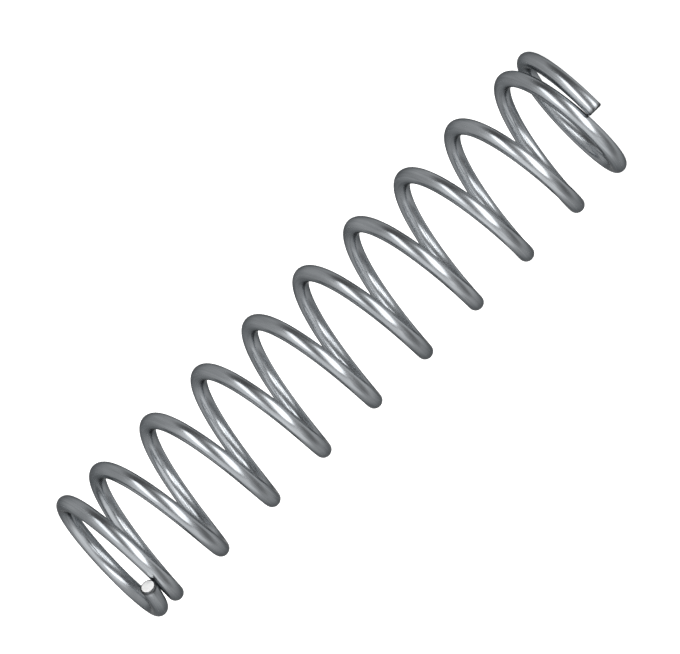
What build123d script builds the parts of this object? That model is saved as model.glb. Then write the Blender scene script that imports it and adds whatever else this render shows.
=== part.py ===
"""Small compression spring: one length of round spring-steel wire, coiled
right-hand, with closed ends that are cut square and left unground.

Millimetres. +Z is the spring's axis, and the origin is where that axis
meets the surface that the spring stands on.
"""

import os
from math import acos, cos, pi, radians, sin, sqrt

from build123d import *

# Wire and coil
wire_diameter = 1.3
outer_diameter = 12.0
total_turns = 10.93
active_pitch = 5.48  # rise per turn of the open coils
first_angle = 259.0  # where the wire starts at the foot, degrees about +Z from +X

# Closed ends: the last turn lies nearly flat, then the pitch opens up
foot_lead = 0.4  # rise per turn of the flat part of the foot coil
foot_ramp_turns = 1.1  # turns over which the foot's pitch opens to the active one
head_lead = 0.05
head_ramp_turns = 1.85

# Wire tips: the last bit of wire springs out a little, beside the next turn
tip_gap = 0.05  # clearance between a tip and the turn it rests against
tip_flare = 0.6  # how far the tip stands out from the coil's circle
flare_turns = 0.15  # length of wire that flares, in turns

points_per_turn = 16  # points on the wire's centre line

# Worked out
coil_radius = (outer_diameter - wire_diameter) / 2
lap_rise = sqrt((wire_diameter + tip_gap) ** 2 - tip_flare**2)
middle = total_turns / 2


def end_rise(turns, lead, ramp_turns):
    """Height of the centre line above a wire tip, so many turns from it.

    The pitch is the lead up to the start of the ramp, then follows a quarter
    sine to the active pitch. The ramp starts where the height after one turn
    comes to lap_rise, which lays the next turn just clear of the tip.
    """
    gain = active_pitch - lead
    ramp_scale = 2 * ramp_turns / pi
    ramp_start = 1 - ramp_scale * acos(1 - (lap_rise - lead) / gain / ramp_scale)
    on_ramp = min(max(turns - ramp_start, 0), ramp_turns)
    past_ramp = max(turns - ramp_start - ramp_turns, 0)
    return lead * turns + gain * (ramp_scale * (1 - cos(on_ramp / ramp_scale)) + past_ramp)


def flare(turns):
    """How far the wire stands out from the coil's circle, so many turns from a tip."""
    return tip_flare * max(1 - turns / flare_turns, 0) ** 2


def wire_height(turns):
    """Height of the centre line, so many turns from the foot tip."""
    if turns < middle:
        return wire_diameter / 2 + end_rise(turns, foot_lead, foot_ramp_turns)
    half_height = end_rise(middle, foot_lead, foot_ramp_turns) + end_rise(middle, head_lead, head_ramp_turns)
    return wire_diameter / 2 + half_height - end_rise(total_turns - turns, head_lead, head_ramp_turns)


def wire_point(turns):
    """Point on the wire's centre line, so many turns from the foot tip."""
    radius = coil_radius + flare(turns) + flare(total_turns - turns)
    angle = radians(first_angle) + 2 * pi * turns
    return (radius * cos(angle), radius * sin(angle), wire_height(turns))


steps = round(total_turns * points_per_turn)
with BuildPart() as spring:
    with BuildLine() as centre_line:
        Spline([wire_point(total_turns * step / steps) for step in range(steps + 1)])
    with BuildSketch(Plane(centre_line.line @ 0, z_dir=centre_line.line % 0)):
        Circle(wire_diameter / 2)
    sweep(path=centre_line.line, is_frenet=True)

spring.part.label = "coil_spring"
os.makedirs("parts", exist_ok=True)
export_step(spring.part, "parts/coil_spring.step")
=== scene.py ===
"""Looks of a small compression spring: bright hard-drawn steel wire on a pale floor."""

from math import acos, cos, pi, radians, sin, sqrt, tan, tau

import bpy
from mathutils import Matrix, Vector


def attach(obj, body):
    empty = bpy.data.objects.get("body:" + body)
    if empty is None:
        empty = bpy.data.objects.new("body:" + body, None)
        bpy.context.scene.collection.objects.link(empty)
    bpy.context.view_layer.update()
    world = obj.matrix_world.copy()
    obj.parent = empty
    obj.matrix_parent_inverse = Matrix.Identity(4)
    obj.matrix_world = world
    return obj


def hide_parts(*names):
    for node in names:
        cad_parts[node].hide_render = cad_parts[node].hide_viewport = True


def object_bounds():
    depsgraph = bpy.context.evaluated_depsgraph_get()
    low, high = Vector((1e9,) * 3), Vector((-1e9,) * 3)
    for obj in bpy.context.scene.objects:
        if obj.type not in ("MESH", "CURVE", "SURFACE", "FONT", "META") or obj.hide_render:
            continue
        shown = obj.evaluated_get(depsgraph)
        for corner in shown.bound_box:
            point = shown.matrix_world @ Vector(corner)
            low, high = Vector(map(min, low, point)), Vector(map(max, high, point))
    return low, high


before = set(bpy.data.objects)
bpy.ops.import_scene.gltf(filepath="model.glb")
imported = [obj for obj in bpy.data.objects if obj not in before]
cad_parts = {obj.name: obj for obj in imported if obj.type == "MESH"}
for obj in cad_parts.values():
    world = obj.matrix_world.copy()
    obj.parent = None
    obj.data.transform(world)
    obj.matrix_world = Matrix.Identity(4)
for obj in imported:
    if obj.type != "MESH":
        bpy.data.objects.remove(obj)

cad_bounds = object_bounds()
MM = 0.001

# ---------------------------------------------------------------- the wire's line
# The same driving sizes as the solid, in millimetres
WIRE_DIAMETER = 1.3
OUTER_DIAMETER = 12.0
TOTAL_TURNS = 10.93
ACTIVE_PITCH = 5.48
FIRST_ANGLE = 259.0
FOOT_LEAD, FOOT_RAMP_TURNS = 0.4, 1.1
HEAD_LEAD, HEAD_RAMP_TURNS = 0.05, 1.85
TIP_GAP = 0.05
TIP_FLARE = 0.6
FLARE_TURNS = 0.15

COIL_RADIUS = (OUTER_DIAMETER - WIRE_DIAMETER) / 2
WIRE_RADIUS = WIRE_DIAMETER / 2
LAP_RISE = sqrt((WIRE_DIAMETER + TIP_GAP) ** 2 - TIP_FLARE**2)
MIDDLE = TOTAL_TURNS / 2
TURN_LENGTH = sqrt((tau * COIL_RADIUS) ** 2 + ACTIVE_PITCH**2)
WIRE_LENGTH = TOTAL_TURNS * TURN_LENGTH  # as if every turn had the active pitch

# How finely the wire is meshed, and the form of its sheared tips
RINGS_PER_TURN = 84
SIDES = 40
TIP_ROUND = 0.13  # radius of the burr-free edge round a cut face
SHEAR_DEPTH = 0.02  # how far the torn half of a cut face stands proud
EDGE_STEPS = 4  # steps round the rounded edge
FACE_RINGS = (0.62, 0.38, 0.14)  # rings on a cut face, as shares of its radius


def end_rise(turns, lead, ramp_turns):
    """Height of the centre line above a wire tip, so many turns from it."""
    gain = ACTIVE_PITCH - lead
    ramp_scale = 2 * ramp_turns / pi
    ramp_start = 1 - ramp_scale * acos(1 - (LAP_RISE - lead) / gain / ramp_scale)
    on_ramp = min(max(turns - ramp_start, 0), ramp_turns)
    past_ramp = max(turns - ramp_start - ramp_turns, 0)
    return lead * turns + gain * (ramp_scale * (1 - cos(on_ramp / ramp_scale)) + past_ramp)


def flare(turns):
    """How far the wire stands out from the coil's circle, so many turns from a tip."""
    return TIP_FLARE * max(1 - turns / FLARE_TURNS, 0) ** 2


def wire_height(turns):
    """Height of the centre line, so many turns from the foot tip."""
    if turns < MIDDLE:
        return WIRE_RADIUS + end_rise(turns, FOOT_LEAD, FOOT_RAMP_TURNS)
    halves = end_rise(MIDDLE, FOOT_LEAD, FOOT_RAMP_TURNS) + end_rise(MIDDLE, HEAD_LEAD, HEAD_RAMP_TURNS)
    return WIRE_RADIUS + halves - end_rise(TOTAL_TURNS - turns, HEAD_LEAD, HEAD_RAMP_TURNS)


def wire_point(turns):
    """Point on the wire's centre line in millimetres, so many turns from the foot tip."""
    radius = COIL_RADIUS + flare(turns) + flare(TOTAL_TURNS - turns)
    angle = radians(FIRST_ANGLE) + tau * turns
    return Vector((radius * cos(angle), radius * sin(angle), wire_height(turns)))


# ---------------------------------------------------------------- the wire's mesh
def wire_mesh():
    """The wire as rings along its line, closed by a rounded edge and a sheared face at each tip.

    Each point also carries its place on the straight wire, in millimetres: where it
    lies in the round section, and how far along the wire it is.
    """
    step = 0.25 / RINGS_PER_TURN
    edge_turns = TIP_ROUND / TURN_LENGTH
    edge_angles = [pi / 2 * i / EDGE_STEPS for i in range(EDGE_STEPS + 1)]
    start = [(edge_turns * (1 - cos(a)), TIP_ROUND * (1 - sin(a))) for a in edge_angles]
    end = [(TOTAL_TURNS - turns, inset) for turns, inset in reversed(start)]
    count = round(TOTAL_TURNS * RINGS_PER_TURN)
    body = [(edge_turns + (TOTAL_TURNS - 2 * edge_turns) * i / count, 0) for i in range(1, count)]

    points, places, faces, cut_faces = [], [], [], []

    def add_ring(turns, radius, push=0.0):
        centre = wire_point(turns)
        along = (wire_point(turns + step) - wire_point(turns - step)).normalized()
        out = Vector((centre.x, centre.y, 0)).normalized()
        out = (out - along * out.dot(along)).normalized()
        side = along.cross(out)
        for i in range(SIDES):
            a = tau * i / SIDES
            lift = push * SHEAR_DEPTH * (0.5 + 0.5 * sin(a))
            points.append((centre + (out * cos(a) + side * sin(a)) * radius + along * lift) * MM)
            places.append((radius * cos(a), radius * sin(a), turns * TURN_LENGTH))

    def join(low, high, into):
        for i in range(SIDES):
            j = (i + 1) % SIDES
            into.append((low + i, low + j, high + j, high + i))

    for share in reversed(FACE_RINGS):
        add_ring(0, (WIRE_RADIUS - TIP_ROUND) * share, push=-1.0)
    for turns, inset in start + body + end:
        add_ring(turns, WIRE_RADIUS - inset)
    for share in FACE_RINGS:
        add_ring(TOTAL_TURNS, (WIRE_RADIUS - TIP_ROUND) * share, push=1.0)

    rings = len(points) // SIDES
    for ring in range(rings - 1):
        on_face = ring < len(FACE_RINGS) or ring >= rings - 1 - len(FACE_RINGS)
        join(ring * SIDES, (ring + 1) * SIDES, cut_faces if on_face else faces)
    cut_faces.append(tuple(reversed(range(SIDES))))
    cut_faces.append(tuple(range((rings - 1) * SIDES, rings * SIDES)))

    mesh = bpy.data.meshes.new("spring_wire")
    mesh.from_pydata(points, [], faces + cut_faces)
    mesh.polygons.foreach_set("use_smooth", [True] * len(mesh.polygons))
    mesh.polygons.foreach_set("material_index", [0] * len(faces) + [1] * len(cut_faces))
    place = mesh.attributes.new("wire_place", "FLOAT_VECTOR", "POINT")
    place.data.foreach_set("vector", [number for one in places for number in one])
    mesh.validate()
    mesh.update()
    return mesh


wire = bpy.data.objects.new("spring_wire", wire_mesh())
bpy.context.scene.collection.objects.link(wire)
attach(wire, "root")
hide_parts("coil_spring")


# ---------------------------------------------------------------- materials
def linear(hex_colour):
    """An sRGB hex colour as linear RGBA."""
    parts = [int(hex_colour[i:i + 2], 16) / 255 for i in (1, 3, 5)]
    return [p / 12.92 if p <= 0.04045 else ((p + 0.055) / 1.055) ** 2.4 for p in parts] + [1.0]


def add(tree, kind, settings=None, **inputs):
    """Adds a node. An input is a value or an output socket; i6 names input number 6."""
    node = tree.nodes.new(kind)
    for name, value in (settings or {}).items():
        setattr(node, name, value)
    for name, value in inputs.items():
        numbered = name[0] == "i" and name[1:].isdigit()
        socket = node.inputs[int(name[1:]) if numbered else name.replace("_", " ")]
        if isinstance(value, bpy.types.NodeSocket):
            tree.links.new(value, socket)
        else:
            socket.default_value = value
    return node


def noise_of_size(tree, place, size, **inputs):
    """Noise whose grain has this size in millimetres across, across and along the wire."""
    stretched = add(tree, "ShaderNodeMapping", {"vector_type": "POINT"}, Vector=place,
                    Scale=tuple(1 / length for length in size)).outputs[0]
    return add(tree, "ShaderNodeTexNoise", None, Vector=stretched, Scale=1.0, **inputs).outputs[0]


def new_material(name):
    material = bpy.data.materials.new(name)
    material.use_nodes = True
    material.node_tree.nodes.clear()
    return material, material.node_tree


def hard_drawn_spring_steel():
    """Carbon spring steel wire, drawn bright through a die and left uncoated.

    The eye sees a clean grey metal with long, fine die lines along the wire,
    soft patches where the drawing soap dulled it, and clear bright reflections.
    """
    material, tree = new_material("hard_drawn_spring_steel")
    place = add(tree, "ShaderNodeAttribute", {"attribute_name": "wire_place"}).outputs["Vector"]
    # Die lines are about 0.02 mm apart; drawn at 0.12 mm so that they show, and 15 mm long
    lines = noise_of_size(tree, place, (0.12, 0.12, 15), Detail=3.0, Roughness=0.6)
    # Soap and heat patches run 4 mm along the wire and 0.8 mm across it
    patches = noise_of_size(tree, place, (0.8, 0.8, 4), Detail=2.0)
    # Coiling-tool scuffs, 0.3 mm wide and 1.5 mm long
    scuffs = noise_of_size(tree, place, (0.3, 0.3, 1.5), Detail=4.0, Roughness=0.65)

    tone = add(tree, "ShaderNodeValToRGB", None, Fac=patches)
    tone.color_ramp.elements[0].position = 0.3
    tone.color_ramp.elements[0].color = linear("#a3a7aa")
    tone.color_ramp.elements[1].position = 0.7
    tone.color_ramp.elements[1].color = linear("#bcc0c3")
    streak = add(tree, "ShaderNodeMapRange", None, Value=lines,
                 i1=0.35, i2=0.65, i3=0.86, i4=1.0).outputs[0]
    colour = add(tree, "ShaderNodeMix", {"data_type": "RGBA", "blend_type": "MULTIPLY"}, i0=1.0,
                 i6=tone.outputs[0], i7=streak).outputs[2]
    # Painted shade: the last 0.2 mm before each cut is darkened, so that a dark ring outlines each cut face
    along = add(tree, "ShaderNodeSeparateXYZ", None, Vector=place).outputs["Z"]
    from_head = add(tree, "ShaderNodeMath", {"operation": "SUBTRACT"}, i0=WIRE_LENGTH, i1=along).outputs[0]
    from_tip = add(tree, "ShaderNodeMath", {"operation": "MINIMUM"}, i0=along, i1=from_head).outputs[0]
    painted_cut_shade = add(tree, "ShaderNodeMapRange", None, Value=from_tip, i1=0.1, i2=0.3, i3=0.2, i4=1.0).outputs[0]
    colour = add(tree, "ShaderNodeMix", {"data_type": "RGBA", "blend_type": "MULTIPLY"}, i0=1.0,
                 i6=colour, i7=painted_cut_shade).outputs[2]
    rough = add(tree, "ShaderNodeMapRange", None, Value=scuffs,
                i1=0.3, i2=0.75, i3=0.16, i4=0.30).outputs[0]
    bump_lines = add(tree, "ShaderNodeBump", None, Strength=0.25, Distance=0.01 * MM,
                     Height=lines).outputs[0]
    bump = add(tree, "ShaderNodeBump", None, Strength=0.2, Distance=0.012 * MM, Height=scuffs,
               Normal=bump_lines).outputs[0]
    # Painted shade: the grey edge tint lowers the steel's reflectance at grazing angles, so the wire's
    # outlines draw dark
    shader = add(tree, "ShaderNodeBsdfPrincipled", None, Base_Color=colour, Metallic=1.0, Roughness=rough,
                 Specular_Tint=linear("#8c8e8f"), Normal=bump)
    add(tree, "ShaderNodeOutputMaterial", None, Surface=shader.outputs[0])
    return material


def sheared_spring_steel():
    """The same steel where the coiler's knife cut it: bare, bright and matt, with fine tear lines. Its
    near-white tone is partly painted highlight: bright cut steel, raised to near white so the face shows as
    white as its highlight.
    """
    material, tree = new_material("sheared_spring_steel")
    place = add(tree, "ShaderNodeAttribute", {"attribute_name": "wire_place"}).outputs["Vector"]
    # Tear lines about 0.06 mm apart run across the face in the knife's direction
    tears = noise_of_size(tree, place, (0.06, 0.5, 1), Detail=4.0)
    # Partly painted highlight: the face's tone is set near white so that it shows as white as a highlight on
    # it
    tone = add(tree, "ShaderNodeValToRGB", None, Fac=tears)
    tone.color_ramp.elements[0].color = linear("#e6e6e5")
    tone.color_ramp.elements[1].color = linear("#fbfbfa")
    bump = add(tree, "ShaderNodeBump", None, Strength=0.4, Distance=0.01 * MM,
               Height=tears).outputs[0]
    shader = add(tree, "ShaderNodeBsdfPrincipled", None, Base_Color=tone.outputs[0], Metallic=0.6,
                 Roughness=0.45, Normal=bump)
    add(tree, "ShaderNodeOutputMaterial", None, Surface=shader.outputs[0])
    return material


wire.data.materials.append(hard_drawn_spring_steel())
wire.data.materials.append(sheared_spring_steel())


# ---------------------------------------------------------------- stage
def pale_floor():
    """A wide pale floor under the spring, bright enough that shadows stay faint."""
    half = 6.0
    mesh = bpy.data.meshes.new("studio_floor")
    corners = [(-half, -half, 0), (half, -half, 0), (half, half, 0), (-half, half, 0)]
    mesh.from_pydata(corners, [], [(0, 1, 2, 3)])
    floor = bpy.data.objects.new("studio_floor", mesh)
    bpy.context.scene.collection.objects.link(floor)
    material, tree = new_material("matt_white_paper")
    shader = add(tree, "ShaderNodeBsdfPrincipled", None, Base_Color=linear("#f4f4f2"), Roughness=0.9,
                 Emission_Color=linear("#ffffff"), Emission_Strength=0.8)
    add(tree, "ShaderNodeOutputMaterial", None, Surface=shader.outputs[0])
    mesh.materials.append(material)
    floor.visible_glossy = False
    floor.visible_shadow = False


pale_floor()

# ---------------------------------------------------------------- camera
lo, hi = cad_bounds
AXIS_TILT = radians(8.4)  # how far the head leans towards the camera
ROLL = radians(133.95)
VIEW_DISTANCE = 0.628
SENSOR = 36.0
VIEW_WIDTH = 52.2 * MM  # what the frame spans from side to side at the spring
target = Vector((0.52 * MM, 0, (lo.z + hi.z) / 2 - 0.055 * MM))
back = Vector((0, -cos(AXIS_TILT), sin(AXIS_TILT)))
camera_data = bpy.data.cameras.new("camera")
camera_data.sensor_width = SENSOR
camera_data.lens = SENSOR * VIEW_DISTANCE / VIEW_WIDTH
camera_data.clip_start = 0.01
camera_data.clip_end = 50
camera = bpy.data.objects.new("camera", camera_data)
upright = (-back).to_track_quat("-Z", "Y")
camera.rotation_mode = "QUATERNION"
camera.rotation_quaternion = upright @ Matrix.Rotation(-ROLL, 4, "Z").to_quaternion()
camera.location = target + back * VIEW_DISTANCE
bpy.context.scene.collection.objects.link(camera)
bpy.context.scene.camera = camera


# ---------------------------------------------------------------- light
def heading(azimuth, elevation):
    """A direction from the spring. Azimuth 0 is where the camera stands, and +X is to its right."""
    a, e = radians(azimuth), radians(elevation)
    return Vector((sin(a) * cos(e), -cos(a) * cos(e), sin(e)))


CORNER_POWER = 3.0  # 2 would make each sky panel an ellipse; more squares its corners


def panel_mask(tree, way, azimuth, elevation, lean, half_long, half_short, softness):
    """One inside a soft-edged rectangle of the studio's sky, and zero outside it.

    lean turns the rectangle's long side, in degrees from level, and the half
    sizes are the angles that it spans as seen from the spring.
    """
    centre = heading(azimuth, elevation)
    level = centre.cross(Vector((0, 0, 1))).normalized() * -1
    rise = centre.cross(level).normalized()
    long_side = level * cos(radians(lean)) + rise * sin(radians(lean))
    short_side = centre.cross(long_side)
    ahead = add(tree, "ShaderNodeVectorMath", {"operation": "DOT_PRODUCT"},
                i0=way, i1=centre).outputs["Value"]
    in_front = add(tree, "ShaderNodeMath", {"operation": "MAXIMUM"}, i0=ahead, i1=0.02).outputs[0]
    reach = []
    for side, half in ((long_side, half_long), (short_side, half_short)):
        across = add(tree, "ShaderNodeVectorMath", {"operation": "DOT_PRODUCT"},
                     i0=way, i1=side).outputs["Value"]
        offset = add(tree, "ShaderNodeMath", {"operation": "DIVIDE"}, i0=across, i1=in_front).outputs[0]
        share = add(tree, "ShaderNodeMath", {"operation": "DIVIDE"},
                    i0=offset, i1=tan(radians(half))).outputs[0]
        distance = add(tree, "ShaderNodeMath", {"operation": "ABSOLUTE"}, i0=share).outputs[0]
        reach.append(add(tree, "ShaderNodeMath", {"operation": "POWER"},
                         i0=distance, i1=CORNER_POWER).outputs[0])
    total = add(tree, "ShaderNodeMath", {"operation": "ADD"}, i0=reach[0], i1=reach[1]).outputs[0]
    edge = add(tree, "ShaderNodeMath", {"operation": "POWER"}, i0=total, i1=1 / CORNER_POWER).outputs[0]
    return add(tree, "ShaderNodeMapRange", {"interpolation_type": "SMOOTHSTEP"}, Value=edge,
               i1=1 + softness, i2=1 - softness, i3=0.0, i4=1.0).outputs[0]


# Panels and flags of the studio's sky: azimuth, elevation, lean, half length, half width,
# softness, and brightness. A brightness under the sky's own is a dark flag.
SKY_BRIGHTNESS = 0.56
SKY_PANELS = (
    ("floor_glow", 0, -88, 0, 48, 48, 0.7, 0.72),
    ("ceiling_glow", -25, 64, 0, 62, 32, 0.7, 1.2),
    ("left_flag", -82, -28, -65, 30, 16, 0.7, 0.26),
    ("right_flag", 65, -34, -65, 42, 22, 0.6, 0.15),
    ("gap_flag", 12, 2, -50, 44, 8, 0.7, 0.30),
    ("third_strip", -70, 26, -60, 24, 8, 0.5, 1.1),
    ("main_strip", -18, -26, -60, 44, 17, 0.25, 3.2),
    ("second_strip", 36, 24, -52, 34, 11, 0.3, 3.2),
)


def studio_grey(brightness):
    """The room's grey at this brightness, a hundredth bluer than neutral."""
    return (brightness, brightness, brightness * 1.01, 1.0)


def studio_world():
    """A plain grey room with soft strip lights, and dark cloth at both sides that draws the wire's edges."""
    world = bpy.data.worlds.new("studio")
    world.use_nodes = True
    tree = world.node_tree
    tree.nodes.clear()
    way = add(tree, "ShaderNodeTexCoord").outputs["Generated"]
    sky = studio_grey(SKY_BRIGHTNESS)
    for name, azimuth, elevation, lean, half_long, half_short, softness, brightness in SKY_PANELS:
        mask = panel_mask(tree, way, azimuth, elevation, lean, half_long, half_short, softness)
        sky = add(tree, "ShaderNodeMix", {"data_type": "RGBA", "label": name}, i0=mask, i6=sky,
                  i7=studio_grey(brightness)).outputs[2]
    background = add(tree, "ShaderNodeBackground", None, Color=sky, Strength=1.0)
    add(tree, "ShaderNodeOutputWorld", None, Surface=background.outputs[0])
    bpy.context.scene.world = world


studio_world()
bpy.context.scene.view_settings.view_transform = "Standard"

bpy.context.view_layer.update()
